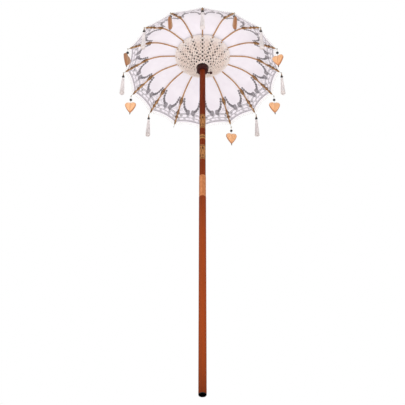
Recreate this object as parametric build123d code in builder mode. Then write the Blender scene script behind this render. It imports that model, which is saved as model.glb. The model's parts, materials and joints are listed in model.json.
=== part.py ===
from build123d import *
import os
from math import atan2, cos, hypot, radians, sin, tan

# A tall garden parasol with a painted cotton canopy on sixteen bent bamboo ribs. A turned runner
# slides on the pole and pushes the ribs up through sixteen short struts. A cross peg locks the
# runner. Hearts and tassels hang in turn from wire eyes at the rib ends, apart from one eye that
# is empty, and the pole parts in two at a metal ferrule. Millimetres, +Z up, the origin is the
# centre of the pole's foot, and the first rib points along -Y. A "side view" below is the plane
# of a rib: radius across, height up.

# ---- driving dimensions: the frame ----
rib_count = 16
tip_radius = 449.0  # pole axis to each rib's end
rim_height = 2201.0  # rib ends above the ground
dome_rise = 148.0  # crown hinges above the rib ends
crown_hinge_radius = 30.0  # circle of the wire that the ribs hinge on
knee_radius = 292.0  # where the two straight runs of a rib would cross
knee_drop = 7.0  # that crossing, below the crown hinges
bend_radius = 189.0  # centre line of the bend that rounds off the crossing
rib_width = 7.5
rib_depth = 6.0
tongue_width = 4.4  # ribs and struts where they enter the crown's and the runner's slots
tongue_reach = 13.0  # from the hinge to the shoulder where a rib or strut gets wider
lug_radius = 4.5  # rounded lug under each rib that its strut straddles
lug_drop = 7.0  # lug hole below the rib's centre line
strut_top_radius = 156.0  # pole axis to the lug holes
strut_thickness = 5.0
strut_width = 10.0
cheek_thickness = 2.6  # each side of a strut's fork
fork_depth = 24.0  # from the lug hole to the bottom of the fork
fork_lip = 7.0  # fork cheeks past the lug hole
runner_hinge_radius = 28.0  # circle of the wire that the struts hinge on
runner_hinge_height = 2234.0
hinge_wire_radius = 0.9
hinge_hole_radius = 1.2

# ---- driving dimensions: pole, hubs and their fittings ----
upper_pole_radius = 17.0
lower_pole_step = 1.5  # how much wider the lower pole is, all round
ferrule_step = 1.1  # the same for the ferrule
ferrule_bottom = 1184.0
ferrule_length = 152.0
foot_thickness = 4.0
foot_spigot_radius = 8.0
foot_spigot_length = 18.0
crown_radius = 36.0
crown_below_hinge = 9.0
runner_radius = 33.0
runner_below_hinge = 29.0
runner_above_hinge = 4.0
slot_floor_below_hinge = 6.0
peg_radius = 3.0
peg_above_runner_foot = 10.0
peg_left_end = 36.0  # pole axis to the plain end
peg_right_end = 41.0  # pole axis to the knob
knob_radius = 8.5
finial_radius = 27.0
finial_height = 66.0
pole_above_canopy = 14.0

# ---- driving dimensions: cloth and hanging ornaments ----
canopy_thickness = 1.0
canopy_hole_margin = 1.0  # between the pole and the hole in the canopy's middle
canopy_edge_inset = 6.0  # canopy corners inside the rib ends
canopy_edge_sag = 9.0  # how far the edge curves in between two ribs
lace_reach = 16.0  # lace corners beyond the canopy's corners
lace_edge_sag = 12.0
lace_gap = 6.5  # half of the opening that the lace leaves at each rib end
eye_reach = 17.0  # rib end to the middle of its wire eye
eye_stem_depth = 12.0
eye_wire_radius = 1.0
eye_ring_width = 2.8
eye_hole_radius = 3.0
eye_rim = 1.6
thread_radius = 0.8
thread_loop_radius = 4.0
bead_radius = 8.0
heart_bead_drop = 36.0  # all drops are measured down from the middle of the eye
heart_drop = 62.0
heart_height = 88.0
heart_width = 64.0
heart_thickness = 22.0
heart_notch = 9.0
# How far each numbered heart has turned on its thread from facing along the canopy's edge. The
# tenth rib's eye is empty.
heart_turns = {2: -15, 4: 0, 6: -20, 8: -60, 12: 20, 14: 42, 16: 15}
heart_edge_thickness = 8.0  # at the foot
drop_bead_length = 11.0
drop_bead_radius = 3.2
knot_radius = 2.0
tassel_bead_drop = 35.0
ring_bead_radius = 5.0
ring_bead_length = 5.0
skirt_drop = 50.0
skirt_length = 134.0
skirt_top_radius = 7.5
skirt_hem_radius = 14.5
skirt_socket_depth = 10.0

# ---- clearances ----
glue_gap = 0.05  # radial, between pieces that are glued together
socket_clearance = 0.08  # radial, upper pole in the ferrule
runner_clearance = 0.1  # radial, runner on the pole
peg_clearance = 0.1  # radial, peg in its hole, and peg beside the pole
slot_clearance = 0.35  # each side of a tongue in its slot, and of a rib in its fork
canopy_gap = 1.5  # canopy above the ribs
string_gap = 0.1  # thread in beads, hearts and tassels
end_gap = 0.5  # past the end of a stem or thread in a blind hole

# ---- places worked out from the dimensions ----
lower_pole_radius = upper_pole_radius + lower_pole_step
ferrule_radius = upper_pole_radius + ferrule_step
rib_step = 360 / rib_count
crown_hinge_height = rim_height + dome_rise
knee_height = crown_hinge_height - knee_drop
inner_slope = atan2(-knee_drop, knee_radius - crown_hinge_radius)
outer_slope = atan2(rim_height - knee_height, tip_radius - knee_radius)
lug_height = crown_hinge_height + (strut_top_radius - crown_hinge_radius) * tan(inner_slope) - lug_drop
strut_run = strut_top_radius - runner_hinge_radius
strut_rise = lug_height - runner_hinge_height
strut_length = hypot(strut_run, strut_rise)
eye_radius = tip_radius + eye_reach * cos(outer_slope)
eye_height = rim_height + eye_reach * sin(outer_slope)
runner_foot = runner_hinge_height - runner_below_hinge
peg_height = runner_foot + peg_above_runner_foot
peg_offset = upper_pole_radius + peg_clearance + peg_radius
ferrule_top = ferrule_bottom + ferrule_length
joint_height = ferrule_bottom + ferrule_length / 2
canopy_lift = rib_depth / 2 + canopy_gap
canopy_floor = crown_hinge_height + canopy_lift
crown_top = canopy_floor + (1.1 * crown_radius - crown_hinge_radius) * tan(inner_slope)
finial_foot = canopy_floor + canopy_thickness - crown_hinge_radius * tan(inner_slope)
pole_top = finial_foot + pole_above_canopy


def rib_line(lift):
    """The three corners of a rib's side view, moved square to its runs by lift: start, knee, end."""
    inner_normal = Vector(-sin(inner_slope), cos(inner_slope))
    outer_normal = Vector(-sin(outer_slope), cos(outer_slope))
    miter = (inner_normal + outer_normal) / (1 + inner_normal.dot(outer_normal))
    start = Vector(crown_hinge_radius, crown_hinge_height) + inner_normal * lift
    knee = Vector(knee_radius, knee_height) + miter * lift
    end = Vector(tip_radius, rim_height) + outer_normal * lift
    return start, knee, end


def save(shape, name):
    """Write one finished piece as a STEP file that carries its name."""
    shape.label = name
    export_step(shape, f"parts/{name}.step")


def save_around(shape, name, numbers):
    """Write a copy of a piece at each numbered rib."""
    for number in numbers:
        with BuildPart() as copy:
            add(shape, rotation=(0, 0, rib_step * (number - 1) - 90))
        save(copy.part, f"{name}_{number:02d}")


os.makedirs("parts", exist_ok=True)

# ---- pole ----
with BuildPart() as lower_pole:
    with BuildSketch(Plane.XY.offset(foot_thickness)):
        Circle(lower_pole_radius)
    extrude(amount=ferrule_bottom - foot_thickness)
    with BuildSketch(Plane.XY.offset(ferrule_bottom)):
        Circle(upper_pole_radius + socket_clearance - glue_gap)
    extrude(amount=joint_height - ferrule_bottom)
    with BuildSketch(Plane.XY.offset(foot_thickness)):
        Circle(foot_spigot_radius + glue_gap)
    extrude(amount=foot_spigot_length + end_gap, mode=Mode.SUBTRACT)
save(lower_pole.part, "lower_pole")

with BuildPart() as foot_cap:
    with BuildSketch():
        Circle(ferrule_radius)
    extrude(amount=foot_thickness)
    fillet(foot_cap.edges().group_by(Axis.Z)[0], radius=foot_thickness / 4)
    with BuildSketch(Plane.XY.offset(foot_thickness)):
        Circle(foot_spigot_radius)
    extrude(amount=foot_spigot_length)
save(foot_cap.part, "foot_cap")

with BuildPart() as ferrule:
    with BuildSketch(Plane.XY.offset(ferrule_bottom)):
        Circle(ferrule_radius)
        Circle(upper_pole_radius + socket_clearance, mode=Mode.SUBTRACT)
    extrude(amount=ferrule_length)
    outer_rims = ferrule.edges().filter_by(GeomType.CIRCLE).group_by(SortBy.RADIUS)[-1]
    fillet(outer_rims, radius=(ferrule_radius - upper_pole_radius - socket_clearance) / 2)
save(ferrule.part, "ferrule")

with BuildPart() as upper_pole:
    with BuildSketch(Plane.XY.offset(joint_height)):
        Circle(upper_pole_radius)
    extrude(amount=pole_top - joint_height)
save(upper_pole.part, "upper_pole")

# ---- crown and runner, the two slotted hubs ----
with BuildPart() as crown:
    crown_foot = crown_hinge_height - crown_below_hinge
    with BuildSketch(Plane.XY.offset(crown_foot)):
        Circle(crown_radius)
        Circle(upper_pole_radius + glue_gap, mode=Mode.SUBTRACT)
    extrude(amount=crown_top - crown_foot)
    crown_slot_bottom = crown_hinge_radius - rib_depth / 2 - end_gap
    with BuildSketch(Plane.XY.offset(crown_foot)):
        with PolarLocations(crown_slot_bottom, rib_count):
            Rectangle(crown_radius, tongue_width + 2 * slot_clearance, align=(Align.MIN, Align.CENTER))
    extrude(amount=crown_top - crown_foot, mode=Mode.SUBTRACT)
    with Locations((0, 0, crown_hinge_height)):
        Torus(crown_hinge_radius, hinge_wire_radius + glue_gap, mode=Mode.SUBTRACT)
save(crown.part, "crown")

with BuildPart() as crown_wire:
    with Locations((0, 0, crown_hinge_height)):
        Torus(crown_hinge_radius, hinge_wire_radius)
save(crown_wire.part, "crown_wire")

with BuildPart() as runner:
    with BuildSketch(Plane.XY.offset(runner_foot)):
        Circle(runner_radius)
    extrude(amount=runner_below_hinge + runner_above_hinge)
    fillet(runner.edges().group_by(Axis.Z)[0], radius=runner_radius / 8)
    with BuildSketch(Plane.XY.offset(runner_foot)):
        Circle(upper_pole_radius + runner_clearance)
    extrude(amount=runner_below_hinge + runner_above_hinge, mode=Mode.SUBTRACT)
    with BuildSketch(Plane.XY.offset(runner_hinge_height - slot_floor_below_hinge)):
        with PolarLocations(runner_hinge_radius - strut_thickness / 2 - end_gap, rib_count):
            Rectangle(runner_radius, tongue_width + 2 * slot_clearance, align=(Align.MIN, Align.CENTER))
    extrude(amount=slot_floor_below_hinge + runner_above_hinge, mode=Mode.SUBTRACT)
    with Locations((0, 0, runner_hinge_height)):
        Torus(runner_hinge_radius, hinge_wire_radius + glue_gap, mode=Mode.SUBTRACT)
    with Locations((0, peg_offset, peg_height)):
        Cylinder(peg_radius + peg_clearance, 3 * runner_radius, rotation=(0, 90, 0), mode=Mode.SUBTRACT)
save(runner.part, "runner")

with BuildPart() as runner_wire:
    with Locations((0, 0, runner_hinge_height)):
        Torus(runner_hinge_radius, hinge_wire_radius)
save(runner_wire.part, "runner_wire")

# The peg lies beside the pole, behind it, and goes right through the runner's collar.
with BuildPart() as lock_peg:
    with Locations((-peg_left_end, peg_offset, peg_height)):
        Cylinder(
            peg_radius,
            peg_left_end + peg_right_end + knob_radius,
            rotation=(0, 90, 0),
            align=(Align.CENTER, Align.CENTER, Align.MIN),
        )
    chamfer(lock_peg.edges().group_by(Axis.X)[0], length=peg_radius / 4)
    with Locations((peg_right_end + knob_radius, peg_offset, peg_height)):
        Sphere(knob_radius)
save(lock_peg.part, "lock_peg")

# ---- ribs, each with the wire eye in its end ----
crown_point, knee_point, tip_point = rib_line(0)
lug_point = (strut_top_radius, lug_height)
end_plane = Plane(
    origin=(tip_radius, 0, rim_height),
    x_dir=(0, 1, 0),
    z_dir=(cos(outer_slope), 0, sin(outer_slope)),
)
with BuildPart() as rib:
    with BuildSketch(Plane.XZ):
        with BuildLine():
            FilletPolyline(crown_point, knee_point, tip_point, radius=bend_radius)
        trace(line_width=rib_depth)
        with Locations(crown_point):
            Circle(rib_depth / 2)
        with Locations(lug_point):
            Circle(lug_radius)
            Rectangle(2 * lug_radius, lug_drop, align=(Align.CENTER, Align.MIN))
    extrude(amount=rib_width / 2, both=True)
    with BuildSketch(Plane.XY.offset(crown_hinge_height - rib_depth)):
        with GridLocations(0, rib_width + tongue_width, 1, 2):
            Rectangle(crown_hinge_radius + tongue_reach, rib_width, align=(Align.MIN, Align.CENTER))
    extrude(amount=2 * rib_depth, mode=Mode.SUBTRACT)
    with BuildSketch(Plane.XZ):
        with Locations(crown_point, lug_point):
            Circle(hinge_hole_radius)
    extrude(amount=rib_width, both=True, mode=Mode.SUBTRACT)
    with BuildSketch(end_plane):
        Circle(eye_wire_radius + glue_gap)
    extrude(amount=-eye_stem_depth - end_gap, mode=Mode.SUBTRACT)

with BuildPart() as rib_eye:
    with BuildSketch(end_plane.offset(-eye_stem_depth)):
        Circle(eye_wire_radius)
    extrude(amount=eye_stem_depth + eye_reach - eye_hole_radius - eye_rim / 2)
    with BuildSketch(Plane.XZ):
        with Locations((eye_radius, eye_height)):
            Circle(eye_hole_radius + eye_rim)
    extrude(amount=eye_ring_width / 2, both=True)
    with BuildSketch(Plane.XZ):
        with Locations((eye_radius, eye_height)):
            Circle(eye_hole_radius)
    extrude(amount=eye_ring_width, both=True, mode=Mode.SUBTRACT)

with BuildPart() as rib_with_eye:
    add(rib.part)
    add(rib_eye.part)
save_around(rib_with_eye.part, "rib", range(1, rib_count + 1))

# ---- struts, drawn flat in the plane that slopes from the runner hinge to the lug ----
strut_plane = Plane(
    origin=(runner_hinge_radius, 0, runner_hinge_height),
    x_dir=(strut_run, 0, strut_rise),
    z_dir=(-strut_rise, 0, strut_run),
)
fork_gap = rib_width + 2 * slot_clearance
fork_width = fork_gap + 2 * cheek_thickness
with BuildPart() as strut:
    with BuildSketch(strut_plane):
        with BuildLine():
            Polyline(
                (-strut_thickness / 2, -tongue_width / 2),
                (tongue_reach, -tongue_width / 2),
                (2 * tongue_reach, -strut_width / 2),
                (strut_length - 1.5 * fork_depth, -strut_width / 2),
                (strut_length - fork_depth, -fork_width / 2),
                (strut_length + fork_lip, -fork_width / 2),
                (strut_length + fork_lip, fork_width / 2),
                (strut_length - fork_depth, fork_width / 2),
                (strut_length - 1.5 * fork_depth, strut_width / 2),
                (2 * tongue_reach, strut_width / 2),
                (tongue_reach, tongue_width / 2),
                (-strut_thickness / 2, tongue_width / 2),
                close=True,
            )
        make_face()
        with Locations((strut_length - fork_depth, 0)):
            Rectangle(2 * fork_depth, fork_gap, align=(Align.MIN, Align.CENTER), mode=Mode.SUBTRACT)
    extrude(amount=strut_thickness / 2, both=True)
    with BuildSketch(Plane.XZ):
        with Locations((runner_hinge_radius, runner_hinge_height), lug_point):
            Circle(hinge_hole_radius)
    extrude(amount=fork_width, both=True, mode=Mode.SUBTRACT)
    corner_distance = hypot(strut_thickness / 2, strut_thickness / 2)
    hinge_corners = strut.edges().filter_by(
        lambda edge: abs((edge @ 0.5 - strut_plane.origin).length - corner_distance) < glue_gap
    )
    fillet(hinge_corners, radius=0.45 * strut_thickness)
save_around(strut.part, "strut", range(1, rib_count + 1))

# ---- canopy and lace trim: one panel between two ribs, repeated ----
half_step = rib_step / 2
canopy_corner_radius = tip_radius - canopy_edge_inset
lace_corner_radius = canopy_corner_radius + lace_reach


def edge_curve(corner_radius, sag):
    """An edge from rib to rib that curves in between them by sag: its two ends and its middle."""
    reach = corner_radius * cos(radians(half_step))
    half_chord = corner_radius * sin(radians(half_step))
    return (reach, -half_chord), (reach - sag, 0), (reach, half_chord)


def panel_sheet():
    """A sheet of canopy cloth with the ribs' side view, drawn out sideways past both ribs."""
    start, knee, end = rib_line(canopy_lift + canopy_thickness / 2)
    flat = cos(radians(half_step))
    inner_x = upper_pole_radius * flat
    outer_x = (end.X + lace_reach) * flat
    inner_point = (inner_x, start.Y + (inner_x / flat - start.X) * tan(inner_slope))
    outer_point = (outer_x, end.Y + lace_reach * tan(outer_slope))
    with BuildPart() as sheet:
        with BuildSketch(Plane.XZ):
            with BuildLine():
                FilletPolyline(inner_point, (knee.X * flat, knee.Y), outer_point, radius=bend_radius)
            trace(line_width=canopy_thickness)
        extrude(amount=lace_corner_radius * sin(radians(half_step)), both=True)
    return sheet.part


def save_panels(panel, name):
    """Write sixteen copies of a panel, one between each two ribs, as one piece."""
    panels = [Rot(0, 0, half_step - 90 + rib_step * number) * panel for number in range(rib_count)]
    save(Compound(children=panels), name)


with BuildPart() as canopy_panel:
    add(panel_sheet())
    low_end, middle, high_end = edge_curve(canopy_corner_radius, canopy_edge_sag)
    with BuildSketch(Plane.XY.offset(rim_height - dome_rise)):
        with BuildLine():
            Line((0, 0), low_end)
            ThreePointArc(low_end, middle, high_end)
            Line(high_end, (0, 0))
        make_face()
        Circle(upper_pole_radius + canopy_hole_margin, mode=Mode.SUBTRACT)
    extrude(amount=3 * dome_rise, mode=Mode.INTERSECT)
save_panels(canopy_panel.part.solid(), "canopy")

with BuildPart() as lace_panel:
    add(panel_sheet())
    outer_low, outer_middle, outer_high = edge_curve(lace_corner_radius, lace_edge_sag)
    with BuildSketch(Plane.XY.offset(rim_height - dome_rise)):
        with BuildLine():
            ThreePointArc(low_end, middle, high_end)
            Line(high_end, outer_high)
            ThreePointArc(outer_high, outer_middle, outer_low)
            Line(outer_low, low_end)
        make_face()
        with PolarLocations(0, 2, start_angle=-half_step, angular_range=rib_step, endpoint=True):
            Rectangle(2 * tip_radius, 2 * lace_gap, mode=Mode.SUBTRACT)
    extrude(amount=3 * dome_rise, mode=Mode.INTERSECT)
save_panels(lace_panel.part.solid(), "lace_trim")

# ---- turned cap on top of the pole ----
with BuildPart() as finial:
    with BuildSketch(Plane.XZ):
        with BuildLine():
            Polyline((0, finial_foot), (finial_radius, finial_foot), (finial_radius, finial_foot + 5))
            Spline(
                (finial_radius, finial_foot + 5),
                (0.78 * finial_radius, finial_foot + 0.3 * finial_height),
                (0.33 * finial_radius, finial_foot + 0.55 * finial_height),
                (0.42 * finial_radius, finial_foot + 0.72 * finial_height),
                (0, finial_foot + finial_height),
            )
            Line((0, finial_foot + finial_height), (0, finial_foot))
        make_face()
    revolve(axis=Axis.Z)
    with BuildSketch(Plane.XY.offset(finial_foot)):
        Circle(upper_pole_radius + glue_gap)
    extrude(amount=pole_above_canopy + end_gap, mode=Mode.SUBTRACT)
save(finial.part, "finial")


# ---- hanging ornaments, drawn at the first rib's azimuth and hung from its eye ----
def thread(length, knotted):
    """A cord that loops through the eye and hangs straight, with a knot at its foot or none."""
    with BuildPart() as cord:
        with Locations(Location((eye_radius, 0, eye_height - thread_loop_radius), (0, 90, 0))):
            Torus(thread_loop_radius, thread_radius)
        with Locations((eye_radius, 0, eye_height - 2 * thread_loop_radius)):
            Cylinder(
                thread_radius,
                length - 2 * thread_loop_radius,
                align=(Align.CENTER, Align.CENTER, Align.MAX),
            )
        if knotted:
            with Locations((eye_radius, 0, eye_height - length)):
                Sphere(knot_radius)
    return cord.part


def string_hole(top_drop, depth):
    """Cut the hole for the thread, from top_drop below the eye."""
    with Locations((eye_radius, 0, eye_height - top_drop)):
        Cylinder(
            thread_radius + string_gap,
            depth,
            align=(Align.CENTER, Align.CENTER, Align.MAX),
            mode=Mode.SUBTRACT,
        )


def bead(radius, length, drop):
    """A rounded bead with its middle at drop below the eye."""
    with BuildPart() as ball:
        with Locations((eye_radius, 0, eye_height - drop)):
            Cylinder(radius, length)
        fillet(ball.edges(), radius=0.98 * min(radius, length / 2))
        string_hole(drop - length, 2 * length)
    return ball.part


heart_foot_drop = heart_drop + heart_height
drop_bead_drop = heart_foot_drop + string_gap + drop_bead_length / 2
heart_thread_length = heart_foot_drop + drop_bead_length + 3 * string_gap + knot_radius

# The heart's outline lies in a side view, so each heart faces along the canopy's edge.
with BuildPart() as heart:
    with BuildSketch(Plane((eye_radius, 0, eye_height - heart_drop), (1, 0, 0), (0, -1, 0))):
        with BuildLine():
            lobe = ThreePointArc(
                (0, -heart_notch),
                (0.27 * heart_width, -0.02 * heart_height),
                (heart_width / 2, -0.28 * heart_height),
            )
            side = ThreePointArc(
                lobe @ 1, (0.31 * heart_width, -0.64 * heart_height), (0, -heart_height)
            )
            mirror(about=Plane.YZ)
        make_face()
    extrude(amount=heart_thickness / 2, both=True)
    # Two large balls leave the heart thick in the middle and thin at its edge.
    crowning_radius = (heart_height / 2) ** 2 / (heart_thickness - heart_edge_thickness)
    crowning_shift = crowning_radius - heart_thickness / 2
    heart_middle = eye_height - heart_drop - heart_height / 2
    with Locations((eye_radius, crowning_shift, heart_middle)):
        Sphere(crowning_radius, mode=Mode.INTERSECT)
    with Locations((eye_radius, -crowning_shift, heart_middle)):
        Sphere(crowning_radius, mode=Mode.INTERSECT)
    string_hole(heart_drop, heart_height)

with BuildPart() as drop_bead:
    with Locations((eye_radius, 0, eye_height - drop_bead_drop)):
        Cylinder(drop_bead_radius, drop_bead_length)
    fillet(drop_bead.edges(), radius=0.9 * drop_bead_radius)
    string_hole(heart_foot_drop, 2 * drop_bead_length)

for number, turn in heart_turns.items():
    with BuildPart() as hanging_heart:
        add(thread(heart_thread_length, knotted=True))
        add(bead(bead_radius, 2 * bead_radius, heart_bead_drop))
        add(heart.part.rotate(Axis((eye_radius, 0, 0), (0, 0, 1)), turn))
        add(drop_bead.part)
    save_around(hanging_heart.part, "heart", [number])

with BuildPart() as skirt:
    with BuildSketch(Plane.XZ):
        with BuildLine():
            top = eye_height - skirt_drop
            foot = top - skirt_length
            Polyline(
                (eye_radius, top),
                (eye_radius + skirt_top_radius, top),
                (eye_radius + skirt_hem_radius, foot),
                (eye_radius, foot),
                close=True,
            )
        make_face()
    revolve(axis=Axis((eye_radius, 0, 0), (0, 0, 1)))
    string_hole(skirt_drop, skirt_socket_depth)

with BuildPart() as hanging_tassel:
    add(thread(skirt_drop + skirt_socket_depth - end_gap, knotted=False))
    add(bead(bead_radius, 2 * bead_radius, tassel_bead_drop))
    ring_bead_drop = skirt_drop - string_gap - ring_bead_length / 2
    add(bead(ring_bead_radius, ring_bead_length, ring_bead_drop))
    add(skirt.part)

save_around(hanging_tassel.part, "tassel", range(1, rib_count + 1, 2))
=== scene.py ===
# %% [markdown]
# # A lace parasol
# A tall parasol of painted cotton on sixteen bamboo ribs, hung with wooden hearts and tassels.
# The CAD model gives every size, place and joint. These cells dress it: cloth, lace, bamboo,
# yarn, beads and paint. A maker could paint the CAD shapes alone, but cloth, thread and yarn
# need shapes of their own, so those pieces are modelled again here and ride on the CAD bodies.

# %% Load the frame
import json
import random
from math import atan2, cos, hypot, pi, radians, sin, sqrt, tan

import bmesh
import bpy
import numpy as np
from mathutils import Matrix, Vector


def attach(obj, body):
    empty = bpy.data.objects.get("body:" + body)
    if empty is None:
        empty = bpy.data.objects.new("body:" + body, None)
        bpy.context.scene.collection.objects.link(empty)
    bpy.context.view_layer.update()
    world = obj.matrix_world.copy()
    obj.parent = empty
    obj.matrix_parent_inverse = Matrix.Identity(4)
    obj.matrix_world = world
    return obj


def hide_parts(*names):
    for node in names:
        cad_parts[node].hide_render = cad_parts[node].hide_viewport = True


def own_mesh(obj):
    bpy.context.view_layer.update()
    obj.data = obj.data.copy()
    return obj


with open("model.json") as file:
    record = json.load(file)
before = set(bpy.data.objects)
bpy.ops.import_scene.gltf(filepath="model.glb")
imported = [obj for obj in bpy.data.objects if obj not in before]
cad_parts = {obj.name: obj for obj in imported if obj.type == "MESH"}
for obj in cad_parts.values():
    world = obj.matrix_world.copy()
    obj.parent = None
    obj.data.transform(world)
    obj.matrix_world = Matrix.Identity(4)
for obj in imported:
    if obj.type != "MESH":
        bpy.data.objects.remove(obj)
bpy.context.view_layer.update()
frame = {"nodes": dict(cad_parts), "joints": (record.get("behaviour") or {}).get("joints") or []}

# %% [markdown]
# ## Where things are
# The joints of the CAD record say where each rib is hinged and where each ornament hangs. Sizes
# could be typed in again, but a number that is read can't disagree with the CAD model. Each rib
# lies in a plane through the pole, so its own shape is worked out once, along +X, and turned
# round the pole to its place afterwards.

# %% Places from the joints
joints = {joint["name"]: joint for joint in frame["joints"]}
ribs = range(1, 17)
rib_step = radians(360 / len(ribs))
half_step = rib_step / 2


def radius_and_height(place):
    return hypot(place[0], place[1]), place[2]


crown_radius, crown_height = radius_and_height(joints["rib_01_hinge"]["pos_m"])
runner_radius, runner_height = radius_and_height(joints["strut_01_hinge"]["pos_m"])
eye_radius, eye_height = radius_and_height(joints["tassel_01_swing"]["pos_m"])
print("eye", round(eye_radius, 4), round(eye_height, 4))


def turn_of(number):
    """The turn about the pole that takes +X to a numbered rib."""
    return Matrix.Rotation(rib_step * (number - 1) - pi / 2, 4, "Z")


# %% [markdown]
# ## The line of a rib
# Seen from the side a rib runs straight out from the crown, bends, and runs straight down to
# its end. It could be a spline, but a spline would miss the straight runs that hold the cloth
# flat, so the line is two straight runs and an arc. `rib_frame` gives the place and direction
# at any distance along it, moved square to the rib by `lift`.

# %% The rib's side view
knee_radius = 0.292
knee_height = crown_height - 0.007
bend_radius = 0.189
eye_reach = 0.017
inner_slope = atan2(knee_height - crown_height, knee_radius - crown_radius)
outer_slope = atan2(eye_height - knee_height, eye_radius - knee_radius)
bend_turn = inner_slope - outer_slope
bend_tangent = bend_radius * tan(bend_turn / 2)
inner_run = hypot(knee_radius - crown_radius, knee_height - crown_height) - bend_tangent
bend_run = bend_radius * bend_turn
outer_run = hypot(eye_radius - knee_radius, eye_height - knee_height) - bend_tangent - eye_reach
rib_length = inner_run + bend_run + outer_run


def rib_frame(distance, lift=0.0):
    """Radius, height and slope of the rib at a distance from its hinge."""
    if distance <= inner_run:
        slope = inner_slope
        radius = crown_radius + distance * cos(slope)
        height = crown_height + distance * sin(slope)
    elif distance <= inner_run + bend_run:
        slope = inner_slope - (distance - inner_run) / bend_radius
        start = rib_frame(inner_run)
        radius = start[0] - bend_radius * (sin(slope) - sin(inner_slope))
        height = start[1] + bend_radius * (cos(slope) - cos(inner_slope))
    else:
        start = rib_frame(inner_run + bend_run)
        slope = outer_slope
        beyond = distance - inner_run - bend_run
        radius = start[0] + beyond * cos(slope)
        height = start[1] + beyond * sin(slope)
    return radius - lift * sin(slope), height + lift * cos(slope), slope


cloth_lift = 0.005
cloth_line = [rib_frame(d, cloth_lift) for d in np.linspace(-0.02, rib_length + 0.03, 200)]
cloth_radii = [point[0] for point in cloth_line]
cloth_heights = [point[1] for point in cloth_line]
tip_radius, tip_height, _ = rib_frame(rib_length)
print("rib", round(rib_length, 4), "tip", round(tip_radius, 4), round(tip_height, 4))


def distance_at(radius):
    """The distance along a rib at which it reaches a radius."""
    distances = np.linspace(0, rib_length, 400)
    return float(np.interp(radius, [rib_frame(d)[0] for d in distances], distances))


def cloth_point(radius, angle, lift=0.0):
    """A point of the cloth at a radius and an angle from its rib, where +X is the rib."""
    from_middle = half_step - abs(angle)
    reach = radius * cos(from_middle) / cos(half_step)
    height = float(np.interp(reach, cloth_radii, cloth_heights))
    return Vector((radius * cos(angle), radius * sin(angle), height + lift))


# %% [markdown]
# ## Putting a piece in its place
# A piece is shaped in a bmesh along +X, made a mesh, and turned to its rib. The turn goes into
# the mesh, not into the object, so the object stays at the origin as the CAD pieces do. Because
# the turned copies no longer share directions, each mesh also keeps its unturned coordinates in
# an attribute named place, which grain and stripes can follow.


# %% Make an object from a bmesh
def mesh_of(bm, name, smooth=True):
    """A mesh from a bmesh, with its unturned coordinates kept in an attribute."""
    bmesh.ops.recalc_face_normals(bm, faces=bm.faces)
    mesh = bpy.data.meshes.new(name)
    bm.to_mesh(mesh)
    bm.free()
    mesh.polygons.foreach_set("use_smooth", [smooth] * len(mesh.polygons))
    places = np.zeros(len(mesh.vertices) * 3, np.float32)
    mesh.vertices.foreach_get("co", places)
    mesh.attributes.new("place", "FLOAT_VECTOR", "POINT").data.foreach_set("vector", places)
    return mesh


def coat(mesh, material):
    mesh.materials.clear()
    mesh.materials.append(material)


def put(name, mesh, body, material, number=None, replaces=()):
    """Link one piece, turned to its rib if it has one, and let it ride on its body."""
    if number is not None:
        mesh = mesh.copy()
        mesh.transform(turn_of(number))
    coat(mesh, material)
    piece = bpy.data.objects.new(name, mesh)
    bpy.context.scene.collection.objects.link(piece)
    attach(piece, body)
    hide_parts(*replaces)
    return piece


def linear(colour):
    """A six-digit colour as the linear red, green, blue and alpha that shaders take."""
    parts = [int(colour[i : i + 2], 16) / 255 for i in (0, 2, 4)]
    return tuple(x / 12.92 if x <= 0.04045 else ((x + 0.055) / 1.055) ** 2.4 for x in parts) + (1,)


# %% [markdown]
# ## Shader sums as plain sums
# Patterns are arithmetic on coordinates. Wiring Math nodes by hand hides that arithmetic, so a
# small class wraps a socket and each operator adds its node. `Finish` is one material: its
# `node` method adds any other node, with settings first and then socket values or links.


# %% Amounts and finishes
class Amount:
    """A number that changes over a surface."""

    def __init__(self, finish, socket):
        self.finish = finish
        self.socket = socket

    def sum(self, operation, *values):
        return self.finish.node("ShaderNodeMath", {"operation": operation}, dict(enumerate(values)))

    def __add__(self, other):
        return self.sum("ADD", self, other)

    def __radd__(self, other):
        return self.sum("ADD", other, self)

    def __sub__(self, other):
        return self.sum("SUBTRACT", self, other)

    def __rsub__(self, other):
        return self.sum("SUBTRACT", other, self)

    def __mul__(self, other):
        return self.sum("MULTIPLY", self, other)

    def __rmul__(self, other):
        return self.sum("MULTIPLY", other, self)

    def __truediv__(self, other):
        return self.sum("DIVIDE", self, other)

    def __mod__(self, other):
        return self.sum("FLOORED_MODULO", self, other)

    def __abs__(self):
        return self.sum("ABSOLUTE", self)

    def __lt__(self, other):
        return self.sum("LESS_THAN", self, other)

    def __gt__(self, other):
        return self.sum("GREATER_THAN", self, other)

    def most(self, other):
        return self.sum("MAXIMUM", self, other)

    def sine(self):
        return self.sum("SINE", self)

    def fade(self, low, high):
        """0 below low, 1 above high and smooth in between; low may be the larger."""
        settings = {"interpolation_type": "SMOOTHSTEP"}
        values = {"Value": self, "From Min": low, "From Max": high}
        return self.finish.node("ShaderNodeMapRange", settings, values)


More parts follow.
